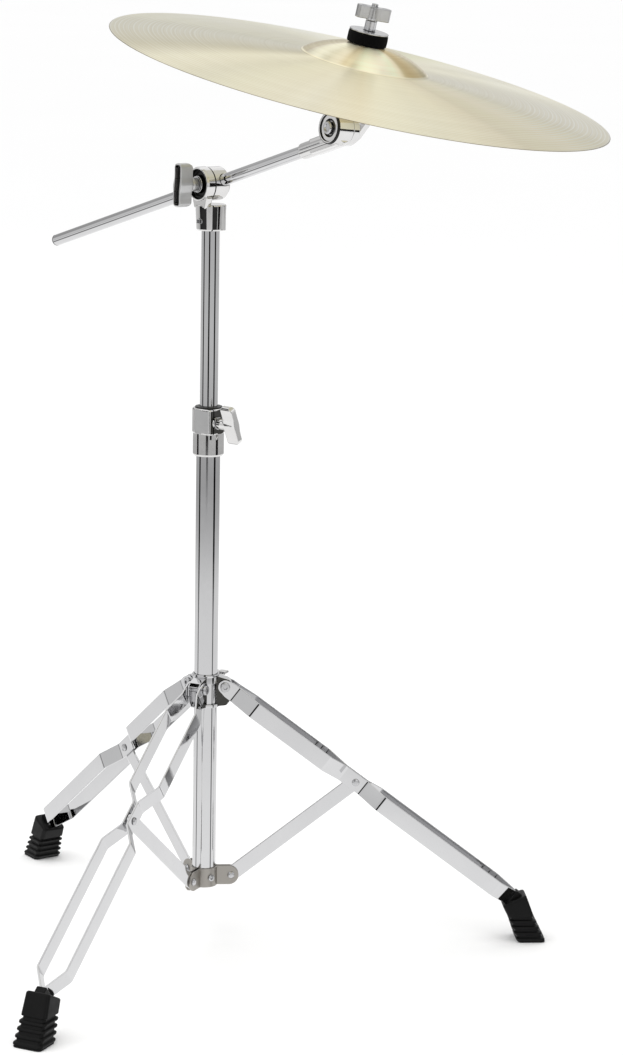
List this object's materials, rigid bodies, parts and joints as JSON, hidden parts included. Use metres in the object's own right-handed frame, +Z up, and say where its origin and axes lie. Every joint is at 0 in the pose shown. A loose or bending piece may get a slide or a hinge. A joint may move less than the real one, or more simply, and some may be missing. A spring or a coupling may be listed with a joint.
{
  "type": "crash cymbal on boom stand",
  "caption": "Large bronze cymbal held between felts on a tilter at the end of a boom arm, on a folding tripod stand with braced twin-strip legs and rubber feet.",
  "frame": {"origin": "middle of the overall footprint, on the floor under the soles", "axes": "+Z up along the stand's height, +X to the viewer's right, +Y away from the viewer"},
  "size_m": [0.6282, 0.7148, 1.0248],
  "materials": {
    "cymbal_bronze": "polished pale bronze with fine turning rings",
    "chrome_plate": "bright chrome",
    "chrome_cast": "chrome over die casting, soft edges",
    "brushed_cast": "satin",
    "nickel_plate": "dull nickel on pressed plate",
    "steel": "zinc plated",
    "black_rubber": "matt moulded",
    "black_felt": "dense wool felt",
    "black_nylon": "moulded"
  },
  "bodies": {
    "stand_base": {"lower_tube": "chrome_plate", "tube_end_plug": "black_nylon", "bracket_plate_back_right": "nickel_plate", "bracket_plate_left": "nickel_plate", "bracket_plate_front_right": "nickel_plate", "plate_rivet_back_right": "steel", "plate_rivet_left": "steel", "plate_rivet_front_right": "steel", "brace_pivot_rivet_right": "steel", "brace_pivot_rivet_back": "steel", "brace_pivot_rivet_front": "steel", "height_clamp_casting": "chrome_cast"},
    "guide": {"guide_bush": "black_nylon"},
    "upper_column": {"upper_tube": "chrome_plate", "boom_clamp_base": "chrome_cast", "socket_key_screw": "steel"},
    "boom_carrier": {"boom_clamp_eye": "chrome_cast", "boom_clamp_stud": "steel"},
    "clamp_washer": {"boom_clamp_washer": "steel"},
    "clamp_wing_nut": {"boom_clamp_wing_nut": "chrome_cast"},
    "height_washer": {"height_clamp_washer": "steel"},
    "height_wing_bolt": {"height_clamp_wing_bolt": "chrome_cast"},
    "crown_slider": {"crown": "chrome_plate", "hinge_bolt_right": "steel", "hinge_bolt_back": "steel", "hinge_bolt_front": "steel"},
    "crown_screw": {"crown_thumb_screw": "chrome_cast"},
    "boom_guide": {"boom_grip_bush": "black_nylon"},
    "boom_body": {"boom_arm": "chrome_plate", "boom_end_cap": "black_nylon", "tilter_lower_half": "chrome_cast"},
    "tilter_screw": {"tilter_lock_screw": "steel"},
    "tilter_top": {"tilter_upper_half": "chrome_cast", "stem_rod": "steel", "seat_sleeve": "black_nylon"},
    "cymbal_seat": {"lower_washer": "steel", "lower_felt": "black_felt", "upper_felt": "black_felt", "upper_washer": "steel"},
    "cymbal_body": {"cymbal": "cymbal_bronze"},
    "stem_nut": {"top_wing_nut": "brushed_cast"},
    "leg_right": {"leg_right_strip_a": "chrome_plate", "leg_right_strip_b": "chrome_plate", "mid_rivet_right_a": "steel", "mid_rivet_right_b": "steel", "foot_right": "black_rubber"},
    "brace_body_right": {"brace_right": "chrome_plate"},
    "leg_back": {"leg_back_strip_a": "chrome_plate", "leg_back_strip_b": "chrome_plate", "mid_rivet_back_a": "steel", "mid_rivet_back_b": "steel", "foot_back": "black_rubber"},
    "brace_body_back": {"brace_back": "chrome_plate"},
    "leg_front": {"leg_front_strip_a": "chrome_plate", "leg_front_strip_b": "chrome_plate", "mid_rivet_front_a": "steel", "mid_rivet_front_b": "steel", "foot_front": "black_rubber"},
    "brace_body_front": {"brace_front": "chrome_plate"}
  },
  "joints": [
    {"name": "crown_slide", "type": "slide", "parent": "stand_base", "child": "crown_slider", "axis": [0, 0, 1], "range_m": [0, 0.129]},
    {"name": "crown_screw_turn", "type": "hinge", "parent": "crown_slider", "child": "crown_screw", "pos_m": [-0.08784, 0.04043, 0.2968], "axis": [0.4274, 0.9041, 0], "range_deg": [0, 720]},
    {"name": "leg_right_fold", "type": "hinge", "parent": "crown_slider", "child": "leg_right", "pos_m": [-0.06741, 0.04211, 0.2888], "axis": [-0.0819, 0.9966, 0], "range_deg": [0, 39.65]},
    {"name": "brace_right_fold", "type": "hinge", "parent": "stand_base", "child": "brace_body_right", "pos_m": [-0.05844, 0.04285, 0.0758], "axis": [0.0819, -0.9966, 0], "range_deg": [0, 41.29]},
    {"name": "leg_back_fold", "type": "hinge", "parent": "crown_slider", "child": "leg_back", "pos_m": [-0.09951, 0.05728, 0.2888], "axis": [-0.8221, -0.5693, 0], "range_deg": [0, 39.65]},
    {"name": "brace_back_fold", "type": "hinge", "parent": "stand_base", "child": "brace_body_back", "pos_m": [-0.10463, 0.06468, 0.0758], "axis": [0.8221, 0.5693, 0], "range_deg": [0, 41.29]},
    {"name": "leg_front_fold", "type": "hinge", "parent": "crown_slider", "child": "leg_front", "pos_m": [-0.0966, 0.0219, 0.2888], "axis": [0.9041, -0.4274, 0], "range_deg": [0, 39.65]},
    {"name": "brace_front_fold", "type": "hinge", "parent": "stand_base", "child": "brace_body_front", "pos_m": [-0.10045, 0.01376, 0.0758], "axis": [-0.9041, 0.4274, 0], "range_deg": [0, 41.29]},
    {"name": "pole_swivel", "type": "hinge", "parent": "stand_base", "child": "guide", "pos_m": [-0.08784, 0.04043, 0.5778], "axis": [0, 0, 1], "continuous": true},
    {"name": "height_slide", "type": "slide", "parent": "guide", "child": "upper_column", "axis": [0, 0, 1], "range_m": [-0.18, 0.2]},
    {"name": "height_washer_slide", "type": "slide", "parent": "stand_base", "child": "height_washer", "axis": [0.776, -0.6307, 0], "range_m": [0, 0.0025]},
    {"name": "height_wing_bolt_turn", "type": "hinge", "parent": "height_washer", "child": "height_wing_bolt", "pos_m": [-0.07727, 0.02411, 0.5778], "axis": [0.776, -0.6307, 0], "range_deg": [0, 724]},
    {"name": "boom_tilt", "type": "hinge", "parent": "upper_column", "child": "boom_carrier", "pos_m": [-0.08784, 0.04043, 0.8288], "axis": [-0.7716, -0.6361, 0], "range_deg": [-30, 22]},
    {"name": "clamp_washer_slide", "type": "slide", "parent": "boom_carrier", "child": "clamp_washer", "axis": [-0.7716, -0.6361, 0], "range_m": [0, 0.0025]},
    {"name": "clamp_wing_nut_turn", "type": "hinge", "parent": "clamp_washer", "child": "clamp_wing_nut", "pos_m": [-0.08784, 0.04043, 0.8288], "axis": [-0.7716, -0.6361, 0], "range_deg": [0, 724]},
    {"name": "boom_roll", "type": "hinge", "parent": "boom_carrier", "child": "boom_guide", "pos_m": [-0.08398, 0.04361, 0.8288], "axis": [0.6089, -0.7386, 0.2894], "range_deg": [-45, 45]},
    {"name": "boom_slide", "type": "slide", "parent": "boom_guide", "child": "boom_body", "axis": [0.6089, -0.7386, 0.2894], "range_m": [-0.12, 0.24]},
    {"name": "tilter_tilt", "type": "hinge", "parent": "boom_body", "child": "tilter_top", "pos_m": [0.04393, -0.10984, 0.89957], "axis": [0.7872, 0.6078, -0.1049], "range_deg": [-15, 60]},
    {"name": "tilter_screw_turn", "type": "hinge", "parent": "boom_body", "child": "tilter_screw", "pos_m": [0.04393, -0.10984, 0.89957], "axis": [-0.7872, -0.6078, 0.1049], "range_deg": [0, 720]},
    {"name": "cymbal_rock", "type": "hinge", "parent": "tilter_top", "child": "cymbal_seat", "pos_m": [0.07242, -0.10783, 0.98252], "axis": [0.7872, 0.6078, -0.1049], "range_deg": [-3, 3], "stiffness_Nm_per_rad": 8},
    {"name": "cymbal_spin", "type": "hinge", "parent": "cymbal_seat", "child": "cymbal_body", "pos_m": [0.06536, -0.10457, 0.9484], "axis": [0.2018, -0.093, 0.975], "continuous": true},
    {"name": "top_wing_nut_turn", "type": "hinge", "parent": "tilter_top", "child": "stem_nut", "pos_m": [0.06297, -0.10347, 0.949], "axis": [0.2018, -0.093, 0.975], "continuous": true}
  ],
  "couplings": [
    {"joint": "leg_right_fold", "follows": "crown_slide", "rad_per_m": 5.3235},
    {"joint": "brace_right_fold", "follows": "crown_slide", "rad_per_m": 5.5456},
    {"joint": "leg_back_fold", "follows": "crown_slide", "rad_per_m": 5.3235},
    {"joint": "brace_back_fold", "follows": "crown_slide", "rad_per_m": 5.5456},
    {"joint": "leg_front_fold", "follows": "crown_slide", "rad_per_m": 5.3235},
    {"joint": "brace_front_fold", "follows": "crown_slide", "rad_per_m": 5.5456},
    {"joint": "height_wing_bolt_turn", "follows": "height_washer_slide", "rad_per_m": 5026.5},
    {"joint": "clamp_wing_nut_turn", "follows": "clamp_washer_slide", "rad_per_m": 5026.5}
  ]
}
